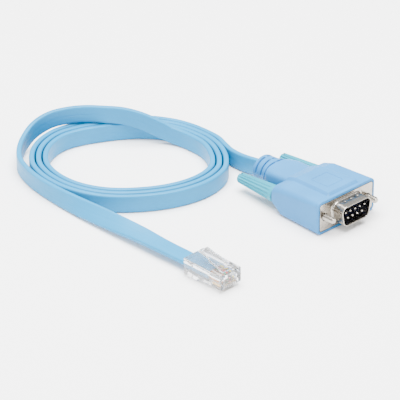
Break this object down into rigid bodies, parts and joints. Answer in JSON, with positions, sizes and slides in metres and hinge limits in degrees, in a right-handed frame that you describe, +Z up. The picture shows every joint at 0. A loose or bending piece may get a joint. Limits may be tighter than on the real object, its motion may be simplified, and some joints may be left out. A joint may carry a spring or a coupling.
{
  "type": "rollover console cable",
  "caption": "Flat console cable in a loose coil, with a D-sub connector in a moulded hood with thumbscrews at one end and a clear modular plug at the other.",
  "frame": {"origin": "on the floor under the middle of the D connector, hood, boot and thumbscrews", "axes": "the D connector's mating face looks along -Y, its pin rows run along X with the long row on top, +Z is up"},
  "size_m": [0.096, 0.1454, 0.0166],
  "materials": {
    "hood_plastic": "smooth satin PVC",
    "knob_plastic": "smooth satin plastic",
    "cable_jacket": "satin PVC jacket",
    "nickel": "bright nickel plate",
    "insulator_plastic": "dark moulded plastic",
    "pin_metal": "flash-gold over nickel",
    "clear_plastic": "clear polycarbonate",
    "contact_gold": "gold plated",
    "wire_orange": "insulation",
    "wire_white": "insulation",
    "wire_brown": "insulation",
    "wire_green": "insulation",
    "wire_red": "insulation",
    "wire_black": "insulation",
    "wire_yellow": "insulation",
    "wire_blue": "insulation"
  },
  "bodies": {
    "cable_assembly": {"hood": "hood_plastic", "connector_shell": "nickel", "insulator": "insulator_plastic", "pin_1": "pin_metal", "pin_2": "pin_metal", "pin_3": "pin_metal", "pin_4": "pin_metal", "pin_5": "pin_metal", "pin_6": "pin_metal", "pin_7": "pin_metal", "pin_8": "pin_metal", "pin_9": "pin_metal", "cable_coil": "cable_jacket", "boot_lead": "cable_jacket", "plug_lead": "cable_jacket", "plug_body": "clear_plastic", "contact_1": "contact_gold", "contact_2": "contact_gold", "contact_3": "contact_gold", "contact_4": "contact_gold", "contact_5": "contact_gold", "contact_6": "contact_gold", "contact_7": "contact_gold", "contact_8": "contact_gold", "wire_1": "wire_orange", "wire_2": "wire_white", "wire_3": "wire_brown", "wire_4": "wire_green", "wire_5": "wire_red", "wire_6": "wire_black", "wire_7": "wire_yellow", "wire_8": "wire_blue"},
    "left_thumbscrew": {"left_knob": "knob_plastic", "left_screw": "nickel"},
    "right_thumbscrew": {"right_knob": "knob_plastic", "right_screw": "nickel"}
  },
  "joints": [
    {"name": "left_thumbscrew_turn", "type": "hinge", "parent": "cable_assembly", "child": "left_thumbscrew", "pos_m": [-0.01249, -0.02231, 0.0077], "axis": [0, 0.999, -0.0436], "continuous": true},
    {"name": "right_thumbscrew_turn", "type": "hinge", "parent": "cable_assembly", "child": "right_thumbscrew", "pos_m": [0.01249, -0.02231, 0.0077], "axis": [0, 0.999, -0.0436], "continuous": true}
  ]
}
